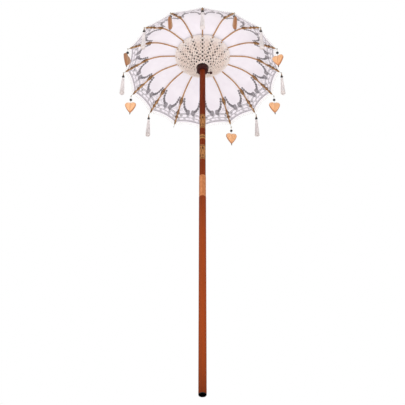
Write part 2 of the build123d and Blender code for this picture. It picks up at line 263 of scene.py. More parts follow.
class Finish:
    """One material, with a Principled shader that the methods wire up."""

    def __init__(self, name, **constants):
        self.material = bpy.data.materials.new(name)
        self.material.use_nodes = True
        self.tree = self.material.node_tree
        self.tree.nodes.clear()
        self.shader = self.tree.nodes.new("ShaderNodeBsdfPrincipled")
        self.output = self.tree.nodes.new("ShaderNodeOutputMaterial")
        self.tree.links.new(self.shader.outputs[0], self.output.inputs[0])
        for socket, value in constants.items():
            self.shader.inputs[socket.replace("_", " ")].default_value = value

    def fill(self, socket, value):
        if isinstance(value, Amount):
            self.tree.links.new(value.socket, socket)
        else:
            socket.default_value = value

    def node(self, kind, settings=None, values=None, output=0):
        node = self.tree.nodes.new(kind)
        for name, value in (settings or {}).items():
            if name == "stops":
                ramp = node.color_ramp
                while len(ramp.elements) < len(value):
                    ramp.elements.new(0.5)
                for element, (place, colour) in zip(ramp.elements, value):
                    element.position = place
                    element.color = colour
            else:
                setattr(node, name, value)
        for name, value in (values or {}).items():
            self.fill(node.inputs[name], value)
        return Amount(self, node.outputs[output])

    def coordinates(self):
        """Object coordinates: x, y, z and the vector itself."""
        vector = self.node("ShaderNodeTexCoord", output="Object")
        return (*self.split(vector), vector)

    def place(self):
        """The unturned coordinates of a piece: x along its rib, y across, z up."""
        vector = self.node("ShaderNodeAttribute", {"attribute_name": "place"}, output="Vector")
        return (*self.split(vector), vector)

    def cloth(self, name):
        """The two numbers of a named UV map."""
        vector = self.node("ShaderNodeUVMap", {"uv_map": name})
        return (*self.split(vector)[:2], vector)

    def split(self, vector):
        node = self.tree.nodes.new("ShaderNodeSeparateXYZ")
        self.tree.links.new(vector.socket, node.inputs[0])
        return [Amount(self, socket) for socket in node.outputs]

    def join(self, x, y, z=0.0):
        return self.node("ShaderNodeCombineXYZ", values={"X": x, "Y": y, "Z": z})

    def stretch(self, vector, scale):
        settings = {"operation": "MULTIPLY"}
        return self.node("ShaderNodeVectorMath", settings, {0: vector, 1: scale})

    def distance(self, vector, point):
        settings = {"operation": "DISTANCE"}
        return self.node("ShaderNodeVectorMath", settings, {0: vector, 1: point}, "Value")

    def noise(self, vector, scale, detail=3.0, roughness=0.55):
        values = {"Vector": vector, "Scale": scale, "Detail": detail, "Roughness": roughness}
        return self.node("ShaderNodeTexNoise", values=values)

    def blend(self, share, first, second):
        settings = {"data_type": "RGBA", "clamp_factor": True}
        return self.node("ShaderNodeMix", settings, {0: share, 6: first, 7: second}, 2)

    def ramp(self, amount, *stops):
        settings = {"stops": [(place, linear(colour)) for place, colour in stops]}
        return self.node("ShaderNodeValToRGB", settings, {"Fac": amount}, "Color")

    def show(self, **sockets):
        for name, value in sockets.items():
            self.fill(self.shader.inputs[name.replace("_", " ")], value)

    def bump(self, height, depth, strength=0.6):
        """Raise the surface by height, a number from 0 to 1, times depth in metres."""
        values = {"Height": height, "Distance": depth, "Strength": strength}
        self.fill(self.shader.inputs["Normal"], self.node("ShaderNodeBump", values=values))

    def through(self, share, colour):
        """Let a share of the light through, as thin cloth does."""
        glow = self.tree.nodes.new("ShaderNodeBsdfTranslucent")
        glow.inputs["Color"].default_value = colour
        mix = self.tree.nodes.new("ShaderNodeMixShader")
        self.fill(mix.inputs[0], share)
        self.tree.links.new(self.shader.outputs[0], mix.inputs[1])
        self.tree.links.new(glow.outputs[0], mix.inputs[2])
        self.tree.links.new(mix.outputs[0], self.output.inputs[0])


# %% [markdown]
# ## Stained and painted pole
# The pole is a turned rod with a red-brown stain. Grain runs up it, so the noise is squeezed
# across and drawn out along Z. Three gold bands are painted round the upper half. They could be
# thin rings of their own, but paint has no thickness, so the bands are part of the colour.

# %% Finish of the pole
pole_wood = Finish("stained_pole_wood", Specular_IOR_Level=0.08)
x, y, z, at = pole_wood.coordinates()
fibres = pole_wood.noise(pole_wood.stretch(at, (420, 420, 5)), 1.0, 5.0)
clouds = pole_wood.noise(pole_wood.stretch(at, (30, 30, 2.2)), 1.0, 2.0)
stain_and_painted_light = pole_wood.ramp(
    fibres * 0.55 + clouds * 0.45,
    (0.30, "361004"),
    (0.45, "5E2009"),
    (0.60, "762C0C"),
    (0.78, "8C3E16"),
)
# Painted light: the stain is blended lighter towards the foot of the pole, where more studio light
# falls on it.
stain_and_painted_light = pole_wood.blend(z.fade(1.9, 0.8) * 0.5, stain_and_painted_light, linear("9C4414"))
around = y.sum("ARCTAN2", y, x) * 0.017


def painted_band(low, high):
    """1 between two heights on the pole, and 0 elsewhere."""
    return z.fade(low - 0.0006, low + 0.0006) * z.fade(high + 0.0006, high - 0.0006)


def scroll(low, high):
    """A wavy stem with round leaves between two heights, 1 where it is painted."""
    middle = (low + high) / 2
    swing = (high - low) * 0.26
    wave = (around * (2 * pi / 0.0335)).sine() * swing
    stem = abs(z - middle - wave).fade(0.0070, 0.0050)
    across = around % 0.01675 - 0.008375
    side = abs(z - middle) - (high - low) * 0.27
    leaf = (across * across + side * side * 0.35).fade(0.000036, 0.000022)
    heart_of_leaf = (across * across + side * side * 0.6).fade(0.000006, 0.000010)
    edge = abs(abs(z - middle) - (high - low) * 0.44).fade(0.0034, 0.0024)
    return stem.most(leaf * heart_of_leaf).most(edge)


wide_bands = [(1.456, 1.566), (1.700, 1.811)]
narrow_band = (1.615, 1.647)
gold = painted_band(*narrow_band)
drawn = abs(z - sum(narrow_band) / 2).fade(0.0042, 0.0028)
for band in wide_bands:
    gold = gold.most(painted_band(*band))
    drawn = drawn.most(scroll(*band) * painted_band(*band))
gold_worn = gold * clouds.fade(0.22, 0.36)
gold_colour = pole_wood.ramp(fibres, (0.3, "8A5230"), (0.7, "BE8852"))
colour = pole_wood.blend(gold_worn, stain_and_painted_light, gold_colour)
colour = pole_wood.blend(drawn * gold * 0.85, colour, linear("2C1206"))
pole_wood.show(Base_Color=colour, Roughness=0.42 + fibres * 0.2 - gold * 0.08)
pole_wood.bump(fibres * 0.5 + gold * 0.5, 0.0004)
print("gold bands at", wide_bands, narrow_band)

# %% [markdown]
# ## Painted hubs, sleeve, wire and foot
# The crown, the runner, its peg and the finial are turned wood under dark maroon paint. The
# sleeve that joins the two halves of the pole is satin copper, drawn along its length. The foot
# is a black rubber plug. All of them keep their CAD shapes, which are already round and true.

# %% Finishes of the fittings
hub_paint = Finish("maroon_hub_paint", Specular_IOR_Level=0.2)
at = hub_paint.coordinates()[3]
turning = hub_paint.noise(hub_paint.stretch(at, (25, 25, 900)), 1.0, 3.0)
scuffs = hub_paint.noise(at, 90.0, 4.0)
hub_paint.show(
    Base_Color=hub_paint.ramp(
        turning * 0.4 + scuffs * 0.6, (0.3, "1E0404"), (0.55, "360A08"), (0.8, "50160E")
    ),
    Roughness=0.36 + scuffs * 0.22,
)
hub_paint.bump(turning, 0.0003)

copper = Finish("satin_copper_sleeve", Metallic=0.75)
at = copper.coordinates()[3]
drawing = copper.noise(copper.stretch(at, (600, 600, 12)), 1.0, 3.0)
bruises = copper.noise(at, 60.0, 3.0)
copper.show(
    Base_Color=copper.ramp(drawing * 0.5 + bruises * 0.5, (0.3, "B8642F"), (0.7, "E09A68")),
    Roughness=0.34 + bruises * 0.2,
)
copper.bump(drawing, 0.0002)

wire = Finish("bright_wire", Metallic=0.9)
tarnish = wire.noise(wire.coordinates()[3], 300.0, 3.0)
wire.show(
    Base_Color=wire.ramp(tarnish, (0.35, "8C8274"), (0.65, "C9C2B4")),
    Roughness=0.28 + tarnish * 0.25,
)

rubber = Finish("black_rubber")
grit = rubber.noise(rubber.coordinates()[3], 700.0, 3.0)
black = rubber.ramp(grit, (0.3, "0C0C0C"), (0.7, "1E1C1B"))
rubber.show(Base_Color=black, Roughness=0.7 + grit * 0.2)
rubber.bump(grit, 0.0003)

cad_finishes = {
    pole_wood: ("lower_pole", "upper_pole"),
    hub_paint: ("crown", "runner", "lock_peg", "finial"),
    copper: ("ferrule",),
    wire: ("crown_wire", "runner_wire"),
    rubber: ("foot_cap",),
}
for finish, names in cad_finishes.items():
    for name in names:
        coat(frame["nodes"][name].data, finish.material)
print("CAD pieces with a new finish:", sum(len(names) for names in cad_finishes.values()))

# %% [markdown]
# ## Bamboo ribs
# A rib is a split of bamboo with rounded corners, a little swollen at each joint of the cane. A
# box would do at a distance, but its sharp corners look like plastic close up, so an eight-sided
# section is extruded along the rib's line, a step at a time. Each step moves the new end from
# one frame to the next.


# %% Shapes that follow the rib
def along_rib(distance, lift=0.0, side=0.0):
    """The frame at a distance along the rib: X along it, Y across it and Z square to it."""
    radius, height, slope = rib_frame(distance, lift)
    return Matrix.Translation((radius, side, height)) @ Matrix.Rotation(-slope, 4, "Y")


def extruded_face(bm, face):
    """Extrude a face: its new corners and the face that they end in."""
    made = bmesh.ops.extrude_face_region(bm, geom=[face])["geom"]
    corners = [item for item in made if isinstance(item, bmesh.types.BMVert)]
    return corners, next(item for item in made if isinstance(item, bmesh.types.BMFace))


def extruded_rim(bm, edges):
    """Extrude a rim of edges: its new corners and its new edges."""
    made = bmesh.ops.extrude_edge_only(bm, edges=edges)["geom"]
    corners = [item for item in made if isinstance(item, bmesh.types.BMVert)]
    return corners, [item for item in made if isinstance(item, bmesh.types.BMEdge)]


def follow(bm, frames, sizes, sides=8):
    """Extrude a round section through frames, with a half width and a half depth at each one."""
    upright = Matrix.Rotation(pi / 2, 4, "Y")
    places = [
        frame_here @ upright @ Matrix.Diagonal((depth, width, 1, 1))
        for frame_here, (width, depth) in zip(frames, sizes)
    ]
    section = bmesh.ops.create_circle(bm, cap_ends=True, segments=sides, radius=1)["verts"]
    half_side = Matrix.Rotation(pi / sides, 4, "Z")
    bmesh.ops.transform(bm, matrix=places[0] @ half_side, verts=section)
    end = section[0].link_faces[0]
    for here, there in zip(places, places[1:]):
        moved, end = extruded_face(bm, end)
        bmesh.ops.transform(bm, matrix=there @ here.inverted(), verts=moved)


def ring(bm, place, wire_size, ring_size, segments=14, sides=6, wide=1.0):
    """A closed ring about the X axis of the frame place; wide draws its wire out along X."""
    before = set(bm.verts)
    section = bmesh.ops.create_circle(bm, segments=sides, radius=wire_size)["verts"]
    outward = Matrix.Translation((0, ring_size, 0)) @ Matrix.Diagonal((wide, 1, 1, 1))
    bmesh.ops.transform(bm, matrix=outward, verts=section)
    edges = list({edge for vertex in section for edge in vertex.link_edges})
    turning = {"cent": (0, 0, 0), "axis": (1, 0, 0), "angle": 2 * pi, "steps": segments}
    bmesh.ops.spin(bm, geom=section + edges, use_merge=True, **turning)
    turned = [vertex for vertex in bm.verts if vertex not in before]
    bmesh.ops.transform(bm, matrix=place, verts=turned)


# %% Finish of the bamboo
bamboo = Finish("oiled_bamboo", Coat_Weight=0.15, Coat_Roughness=0.35)
along, *_, place = bamboo.place()
cane = bamboo.noise(bamboo.stretch(place, (16, 900, 900)), 1.0, 4.0)
age = bamboo.noise(bamboo.coordinates()[3], 24.0, 2.0)
bare = bamboo.ramp(
    cane * 0.6 + age * 0.4, (0.28, "7A4E28"), (0.5, "A87848"), (0.62, "BC8C5A"), (0.8, "D2A672")
)
cane_joint_spacing = 0.094
joint_in_cane = abs(along % cane_joint_spacing - cane_joint_spacing / 2).fade(0.0022, 0.0008)
gilded = along.fade(0.315, 0.345)
gold_paint = bamboo.ramp(age, (0.35, "8A5E2C"), (0.65, "C0925A"))
painted = bamboo.blend(gilded * 0.75, bare, gold_paint)
colour = bamboo.blend(joint_in_cane * 0.6, painted, linear("5E3A1C"))
bamboo.show(Base_Color=colour, Roughness=0.5 + cane * 0.2)
bamboo.bump(cane * 0.7 + joint_in_cane * 0.3, 0.0005)

# %% Ribs
rib_steps = np.linspace(0.011, rib_length, 44)
rib_frames = [along_rib(float(distance)) for distance in rib_steps]
rib_sizes = []
for distance in rib_steps:
    radius = rib_frame(float(distance))[0]
    from_joint = abs(radius % cane_joint_spacing - cane_joint_spacing / 2)
    swell = 1 + 0.07 * max(0.0, 1 - from_joint / 0.006)
    rib_sizes.append((0.0040 * swell, 0.0032 * swell))
rib_sizes[0] = (0.0023, 0.0031)
rib_sizes[1] = (0.0024, 0.0031)
bm = bmesh.new()
follow(bm, rib_frames, rib_sizes)
tongue = [along_rib(distance) for distance in (-0.0028, 0.0, 0.0125)]
follow(bm, tongue, [(0.0021, 0.0022), (0.0022, 0.003), (0.0023, 0.0031)])
lug_radius, lug_height = 0.156, 2.3386
lug_place = Matrix.Translation((lug_radius, 0, lug_height)) @ Matrix.Rotation(pi / 2, 4, "X")
bmesh.ops.create_cone(
    bm, cap_ends=True, segments=20, radius1=0.0044, radius2=0.0044, depth=0.0074, matrix=lug_place
)
neck = Matrix.Translation((lug_radius, 0, lug_height + 0.003))
neck_size = Matrix.Diagonal((0.0085, 0.0073, 0.006, 1))
bmesh.ops.create_cube(bm, size=1, matrix=neck @ neck_size)
rib_mesh = mesh_of(bm, "bamboo_rib")
rib_mesh.set_sharp_from_angle(angle=radians(50))
for number in ribs:
    name = f"rib_{number:02d}"
    put(f"bamboo_{name}", rib_mesh, name, bamboo.material, number, [name])
print("faces in a rib", len(rib_mesh.polygons))

# %% [markdown]
# ## Wire eyes and lug pins
# A bright wire ends each rib in an eye, and a wire pin holds each strut to its rib. Bent wire is
# a ring on a short stem, so the ring is a circle spun round and the stem is an extruded one.

# %% Eyes and pins
bm = bmesh.new()
eye_place = Matrix.Translation((eye_radius, 0, eye_height))
ring(bm, eye_place @ Matrix.Rotation(pi / 2, 4, "Z"), 0.0009, 0.0037, 20, 8)
stem = [along_rib(rib_length - 0.002), along_rib(rib_length + eye_reach - 0.0040)]
follow(bm, stem, [(0.0009, 0.0009)] * 2)
for turn in range(4):
    winding = along_rib(rib_length + 0.002 + 0.0016 * turn)
    ring(bm, winding, 0.0007, 0.0013, 10, 5)
eye_mesh = mesh_of(bm, "wire_eye")
bm = bmesh.new()
pin_place = Matrix.Translation((lug_radius, 0, lug_height)) @ Matrix.Rotation(pi / 2, 4, "X")
bmesh.ops.create_cone(
    bm, cap_ends=True, segments=12, radius1=0.0009, radius2=0.0009, depth=0.0150, matrix=pin_place
)
pin_mesh = mesh_of(bm, "lug_pin")
for number in ribs:
    body = f"rib_{number:02d}"
    put(f"wire_eye_{number:02d}", eye_mesh, body, wire.material, number)
    put(f"lug_pin_{number:02d}", pin_mesh, body, wire.material, number)
print("eye at radius", round(eye_radius, 4))

# %% [markdown]
# ## Bound ornament on the ribs
# Where the painted swags spring from a rib, yarn is bound round the bamboo in tight turns and
# stained gold and brown. It could be a bump on the rib, but the outline shows against the white
# cloth, so each turn is a small ring whose size swells towards the middle of the binding.

# %% Bindings
yarn_gold = Finish("bound_gold_yarn", Sheen_Weight=0.3)
along, across = yarn_gold.place()[:2]
dye = yarn_gold.noise(yarn_gold.coordinates()[3], 160.0, 2.0)
strand = (along * 5200.0 + across * 1500.0).sine() * 0.5 + 0.5
browns = yarn_gold.ramp(
    dye, (0.3, "54300F"), (0.46, "84572A"), (0.6, "A97A3E"), (0.8, "C99E5C")
)
yarn_gold.show(Base_Color=browns, Roughness=0.75 + dye * 0.15)
yarn_gold.bump(strand, 0.0004)
bindings = [
    (0.326, 0.350, 0.0022),
    (0.379, 0.391, 0.0016),
    (0.409, 0.419, 0.0014),
    (0.436, 0.447, 0.0008),
]
turn_spacing = 0.0021
bm = bmesh.new()
turns = 0
for low, high, swelling in bindings:
    first, last = distance_at(low), distance_at(high)
    count = max(4, round((last - first) / turn_spacing))
    for step in range(count):
        share = (step + 0.5) / count
        distance = first + (last - first) * share
        size = 0.0040 + swelling * sin(pi * share)
        flat = along_rib(distance) @ Matrix.Diagonal((1, 1, 0.86, 1))
        ring(bm, flat, 0.0012, size, 12, 5)
        turns += 1
binding_mesh = mesh_of(bm, "yarn_binding")
for number in ribs:
    name = f"rib_{number:02d}"
    put(f"yarn_binding_{number:02d}", binding_mesh, name, yarn_gold.material, number)
print("turns of yarn on a rib", turns, "faces", len(binding_mesh.polygons))

# %% [markdown]
# ## Struts bound with crossed yarn
# Between the runner and the ribs the real parasol is a cone of dark wooden slats covered in pale
# yarn; the slats are coloured darker still, as painted shade inside the cone. A dense layer of yarn
# fills the space between the slats, and pale threads cross over it in diamonds. Over each slat they
# make a row of Xs with small dark openings between them. A flat sheet with a painted net would lose
# the shadows in those openings, so each thread is a thin four-sided rod, laid between points of the
# cone, and painted shade only deepens the openings.

# %% Finish of the slats and the yarn
strut_run = lug_radius - runner_radius
strut_rise = lug_height - runner_height
strut_length = hypot(strut_run, strut_rise)
strut_slope = atan2(strut_rise, strut_run)
# The slats are coloured near black: dark wood, darkened further as painted shade inside the cone of
# yarn.
slat = Finish("shaded_strut_slat")
at = slat.coordinates()[3]
grain = slat.noise(slat.stretch(at, (120, 120, 40)), 1.0, 4.0)
slat.show(
    Base_Color=slat.ramp(grain, (0.3, "1C120E"), (0.55, "33231C"), (0.8, "4C382C")),
    Roughness=0.6 + grain * 0.2,
)
slat.bump(grain, 0.0004)
for number in ribs:
    coat(frame["nodes"][f"strut_{number:02d}"].data, slat.material)

crossing = 0.0230
first_crossing = 0.015
lean = 1.1


def yarn_finish(name, dark, middle, pale, opening_shade):
    """Soft wool in three tones, with loose fibres as its bump and painted shade darkening the openings
    of the diamonds.
    """
    yarn = Finish(name, Sheen_Weight=0.25)
    at = yarn.coordinates()[3]
    wool = yarn.noise(at, 260.0, 3.0)
    shade = yarn.noise(at, 30.0, 2.0)
    colour = yarn.ramp(wool * 0.5 + shade * 0.5, (0.3, dark), (0.5, middle), (0.7, pale))
    along, across = yarn.place()[:2]
    distance = (along - runner_radius) / cos(strut_slope) - first_crossing
    for_one = abs((distance + across * lean) / crossing % 1.0 - 0.5)
    for_other = abs((distance - across * lean) / crossing % 1.0 - 0.5)
    # Painted shade: the middle of each diamond of yarn is darkened, where one would look through the
    # threads into shade.
    painted_shade_in_openings = for_one.most(for_other).fade(0.27, 0.17) * distance.fade(0.008, 0.022)
    painted_shade_in_openings = painted_shade_in_openings * (abs(across).fade(0.016, 0.010) * 0.75 + shade.fade(0.42, 0.58) * 0.25)
    colour = yarn.blend(painted_shade_in_openings * opening_shade, colour, linear("4A3830"))
    colour = yarn.blend(distance.fade(0.105, 0.150) * 0.7, colour, linear("F4ECE8"))
    yarn.show(Base_Color=colour, Roughness=0.8 + wool * 0.15)
    yarn.bump(wool, 0.0005)
    return yarn


ground_yarn = yarn_finish("dense_ground_yarn", "CDB8AC", "E6D2C8", "F4E4DC", 0.95)
yarn = yarn_finish("pale_crossed_yarn", "E0D0C6", "F2E2D8", "FCF2EA", 0.0)

# %% Threads of the cone
reach_of_yarn = strut_length + 0.003
ground_start, ground_spacing, ground_depth = 0.009, 0.0023, 0.0030


def cone_point(distance, side, below):
    """A point of the cone: a distance along the slat, a distance across it, and below it."""
    radius = runner_radius + distance * cos(strut_slope)
    angle = max(-half_step, min(half_step, side / radius))
    flat = radius * cos(half_step - abs(angle)) / cos(half_step)
    height = runner_height + (flat - runner_radius) * tan(strut_slope)
    out = radius + below * sin(strut_slope)
    return Vector((out * cos(angle), out * sin(angle), height - below * cos(strut_slope)))


def half_way(distance):
    """Half of the space from one slat to the next, at a distance along them."""
    return (runner_radius + distance * cos(strut_slope)) * half_step


def rod(bm, start, end, thickness, sides=4):
    """A straight thread from start to end."""
    along_it = end - start
    turn = along_it.to_track_quat("Z", "Y").to_matrix().to_4x4()
    middle = Matrix.Translation((start + end) / 2)
    sizes = {"radius1": thickness, "radius2": thickness, "depth": along_it.length}
    bmesh.ops.create_cone(bm, cap_ends=False, segments=sides, matrix=middle @ turn, **sizes)


rng = random.Random(16)
ground_bm = bmesh.new()
ground_threads = 0
distance = ground_start
while distance < reach_of_yarn:
    for side in (-1, 1):
        wander = rng.uniform(-0.0005, 0.0005)
        from_opening = abs((distance - first_crossing) / crossing % 1.0 - 0.5) / 0.26
        inner_side = min(0.0052, half_way(distance) * 0.5) * max(0.0, 1 - from_opening**3)
        first = cone_point(distance + wander, side * inner_side, ground_depth)
        last = cone_point(distance, side * half_way(distance), ground_depth)
        rod(ground_bm, first, last, rng.uniform(0.0011, 0.0014))
        ground_threads += 1
    distance += ground_spacing
ground_mesh = mesh_of(ground_bm, "ground_yarn")
print("ground threads on a strut", ground_threads)

# %% Crossed threads over the slats
bm = bmesh.new()
crossed_threads = 0
for way in (-1, 1):
    for count in range(-3, 12):
        middle = first_crossing + crossing * count
        size = rng.uniform(0.0015, 0.0018)
        points = []
        for share in np.linspace(-1, 1, 13):
            side = share * 0.031
            distance = middle + way * side * lean + rng.uniform(-0.0003, 0.0003)
            inside = 0.0085 < distance < reach_of_yarn
            if inside and abs(side) < half_way(distance) + 0.0026:
                raised = 0.0060 - 0.0008 * way - 0.0010 * min(1.0, abs(side) / 0.02)
                points.append(cone_point(distance, side, raised))
        for first, last in zip(points, points[1:]):
            rod(bm, first, last, size)
            crossed_threads += 1
rim_half = half_way(reach_of_yarn)
rim = [cone_point(reach_of_yarn, rim_half * share, 0.0046) for share in np.linspace(-1, 1, 9)]
for first, last in zip(rim, rim[1:]):
    rod(bm, first, last, 0.0014)
yarn_mesh = mesh_of(bm, "crossed_yarn")
for number in ribs:
    body = f"strut_{number:02d}"
    for kind, mesh, finish in (("ground", ground_mesh, ground_yarn), ("crossed", yarn_mesh, yarn)):
        name = f"{kind}_yarn_{number:02d}"
        lacing = put(name, mesh, body, finish.material, number)
        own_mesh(lacing)
print("crossed threads on a strut", crossed_threads, "faces", len(yarn_mesh.polygons))

# %% [markdown]
# ## The cotton canopy
# The canopy is one cloth stretched over the ribs. As the ribs fold it has to gather, so the
# model cuts it down the middle between the ribs into sixteen gores. The edges of two gores meet
# level there, so they read as one curved sheet. A grid is laid on the curve that the ribs give,
# and its edge dips between them.

# %% Gores
cloth_start = 0.042
corner_radius = tip_radius - 0.006
lace_corner = corner_radius + 0.016


def edge_radius(corner, sag, angle):
    """The radius of an edge that dips by sag between the ribs, at an angle from a rib."""
    from_middle = half_step - abs(angle)
    half_chord = corner * sin(half_step)
    bow = (half_chord**2 + sag**2) / (2 * sag)
    centre = corner * cos(half_step) - sag + bow
    return centre * cos(from_middle) - sqrt(bow**2 - (centre * sin(from_middle)) ** 2)


def canopy_edge(angle):
    return edge_radius(corner_radius, 0.009, angle)


def lace_edge(angle):
    return edge_radius(lace_corner, 0.012, angle)


def cloth_grid(bm, columns, rows, inner, outer, low=-half_step, high=half_step, lift=0.0):
    """A grid on the cloth from one edge line to another, with its pattern and border maps."""
    made = bmesh.ops.create_grid(bm, x_segments=columns, y_segments=rows, size=1)["verts"]
    painted = bm.loops.layers.uv.get("pattern") or bm.loops.layers.uv.new("pattern")
    bordered = bm.loops.layers.uv.get("border") or bm.loops.layers.uv.new("border")
    polar = {}
    for vertex in made:
        angle = low + (high - low) * (vertex.co.x + 1) / 2
        share = (vertex.co.y + 1) / 2
        radius = inner(angle) + (outer(angle) - inner(angle)) * share
        polar[vertex] = (radius, angle)
        vertex.co = cloth_point(radius, angle, lift)
    for face in {face for vertex in made for face in vertex.link_faces}:
        for loop in face.loops:
            radius, angle = polar[loop.vert]
            loop[painted].uv = (radius * angle, radius)
            loop[bordered].uv = (radius * angle, canopy_edge(angle) - radius)
    return made


bm = bmesh.new()
cloth_grid(bm, 26, 44, lambda angle: cloth_start, canopy_edge)
gore_mesh = mesh_of(bm, "gore")
gore_size = (2 * canopy_edge(0) * tan(half_step), rib_length - 0.01)

# %% [markdown]
# ## Painted cloth
# The cloth is painted by hand: from each rib two swags of dots curve out and end in a large
# hatched drop, and a border of lines and short brush strokes runs round the edge. The paint is
# worked out from two maps of the gore: one gives the distance across from the rib and the
# distance from the pole, the other the distance in from the edge. A picture of the paint could
# be laid on too, but sums stay sharp at any distance.

# %% Finish of the canopy
cotton = Finish("painted_cotton", Sheen_Weight=0.15)
side, out, pattern = cotton.cloth("pattern")
border_side, inward = cotton.cloth("border")[:2]
half = abs(side)
here = cotton.join(half, out)
wander = cotton.noise(pattern, 70.0, 2.0) - 0.5
weave_pitch = 5200.0
weave = (side * weave_pitch).sine() * (out * weave_pitch).sine() * 0.5 + 0.5

swag_dots = [
    (0.0160, 0.3270, 0.0056),
    (0.0195, 0.3390, 0.0062),
    (0.0230, 0.3510, 0.0064),
    (0.0290, 0.3620, 0.0066),
    (0.0375, 0.3700, 0.0068),
    (0.0470, 0.3765, 0.0070),
]


def spot(across, radius_out, size, edge=0.0008):
    """1 inside a painted dot and 0 outside it."""
    return cotton.distance(here, (across, radius_out, 0)).fade(size + edge, size - edge)


dots = spot(*swag_dots[0])
for dot in swag_dots[1:]:
    dots = dots.most(spot(*dot))
drop = spot(0.0590, 0.3830, 0.0128)
hatch = ((half * 1.0 + out * 1.7) * 1500.0).sine() * 0.5 + 0.5


def hoop(across, radius_out, size, width=0.0007):
    """A thin painted ring."""
    return abs(cotton.distance(here, (across, radius_out, 0)) - size).fade(width + 0.0005, width)


inside_swag = (out - 0.345).fade(-0.002, 0.004) * (out - half * 0.52 - 0.349).fade(0.0, 0.004)
tendrils = hoop(0.016, 0.366, 0.0075).most(hoop(0.030, 0.374, 0.0085))
tendrils = tendrils.most(hoop(0.0135, 0.379, 0.0045)).most(hoop(0.040, 0.381, 0.0050))
tendrils = tendrils.most(hoop(0.0, 0.352, 0.0330) * 0.8)

leaf_start, leaf_length, tooth = 0.318, 0.046, 0.0062
leaf_share = (out - leaf_start) / leaf_length
leaf_width = (leaf_share * pi).sine() * 0.0118
leaf_width = leaf_width * leaf_share.fade(0.0, 0.05) * leaf_share.fade(1.0, 0.95)
serration = abs(out % tooth - tooth / 2) * 0.9
on_leaf = (out - leaf_start > 0) * (out < leaf_start + leaf_length)
leaf = (half - leaf_width - serration).fade(0.0006, -0.0006) * on_leaf
leaf_heart = (half - leaf_width * 0.5).fade(0.0006, -0.0006) * on_leaf


def small_leaf(width, middle, taper):
    """A painted diamond on the rib line, widest at its middle."""
    return (half - width + abs(out - middle) * taper).fade(0.0006, -0.0006)


small_leaves = small_leaf(0.0145, 0.397, 1.1).most(small_leaf(0.0140, 0.4165, 1.2))
small_leaves = small_leaves.most(small_leaf(0.0080, 0.4380, 0.6))


# %% Border of the canopy
def line(inset, width, waver=0.0008):
    """A thin painted line along the edge."""
    return abs(inward - inset - wander * waver).fade(width + 0.0005, width - 0.0003)


lines = line(0.0045, 0.0011).most(line(0.0085, 0.0008))
lines = lines.most(line(0.0205, 0.0008)).most(line(0.0340, 0.0008)).most(line(0.0385, 0.0010))


def strokes(inset, spacing, shift, slant, first, last, pitch, height):
    """Groups of short slanted brush strokes in a row along the edge."""
    leaning = border_side + (inward - inset) * slant + shift + 1.0
    in_group = leaning % spacing
    stroke = abs(in_group % pitch - pitch / 2).fade(0.0024, 0.0016)
    group = (in_group > first) * (in_group < last)
    return stroke * group * abs(inward - inset).fade(height + 0.0005, height - 0.0005)


border_spacing = 0.0400
marks = strokes(0.0275, border_spacing, 0.003, 0.45, 0.010, 0.0240, 0.0070, 0.0048)
in_group = (border_side + 1.0) % border_spacing
bars = abs(inward - 0.0318).fade(0.0018, 0.0011) * (in_group > 0.012) * (in_group < 0.022)
faint_marks = strokes(0.0145, 0.0350, 0.011, -0.6, 0.010, 0.0240, 0.0070, 0.0040)
clear_of_rib = half.fade(0.006, 0.009)
brushed = cotton.noise(pattern, 420.0, 2.0).fade(0.30, 0.52)
grey = dots.most(drop * (0.7 + hatch * 0.3)).most(tendrils * inside_swag * 0.45)
grey = grey.most(marks.most(bars).most(faint_marks * 0.9) * clear_of_rib).most(lines)
grey = grey * (0.72 + brushed * 0.28)
cloud = cotton.noise(pattern, 9.0, 2.0)
bare = cotton.ramp(cloud, (0.3, "E4DCE6"), (0.7, "F0EAF2"))
paint = cotton.ramp(cotton.noise(pattern, 45.0, 2.0), (0.35, "2E262B"), (0.65, "4A4046"))
colour = cotton.blend(grey * 0.92, bare, paint)
brown = cotton.ramp(cotton.noise(pattern, 150.0, 2.0), (0.35, "4A2E1C"), (0.65, "7A5432"))
ornament = leaf.most(small_leaves)
colour = cotton.blend(ornament * 0.9, colour, brown)
colour = cotton.blend(leaf_heart * 0.7, colour, linear("9A6A30"))
pigment = grey.most(ornament)
cotton.show(Base_Color=colour, Roughness=0.86 - pigment * 0.14)
cotton.bump(weave * 0.5 + cloud * 0.5, 0.0003, 0.4)
cotton.through(0.30 - pigment * 0.28, linear("FFFAFC"))
print("dots in a swag", len(swag_dots), "nodes", len(cotton.tree.nodes))

# %% [markdown]
# ## Lace round the edge
# A strip of thin white lace hangs on past the painted edge and stops short of each rib end. The
# threads of real lace are far too fine to model one by one, so the strip is a narrow grid whose
# holes and scallops are cut by the material, along a map that follows the edge.

# %% Finish of the lace
lace_thread = Finish("white_lace", Sheen_Weight=0.2)
border_side, inward, border = lace_thread.cloth("border")
beyond = inward * -1.0
cell = 0.0046
column = (border_side + 1.0) % cell - cell / 2
row = (beyond + 1.0) % cell - cell / 2
hole = (column * column + row * row).fade(0.0000026, 0.0000018)
scallop_width, scallop_depth = 0.0105, 0.0034
along_scallop = abs((border_side + 1.0) % scallop_width - scallop_width / 2) / (scallop_width / 2)
scallop_edge = (1 - along_scallop * along_scallop) * scallop_depth
flower = lace_thread.noise(border, 210.0, 1.0).fade(0.50, 0.58)
lace_twist = lace_thread.noise(border, 1400.0, 2.0)
lace_thread.show(
    Base_Color=lace_thread.ramp(lace_twist, (0.3, "EDE8EA"), (0.7, "FFFFFF")),
    Roughness=0.85 + lace_twist * 0.1,
)
solid = 1 - hole * (1 - flower) * beyond.fade(0.001, 0.003)
print("lace cell", cell, "scallop", scallop_width)

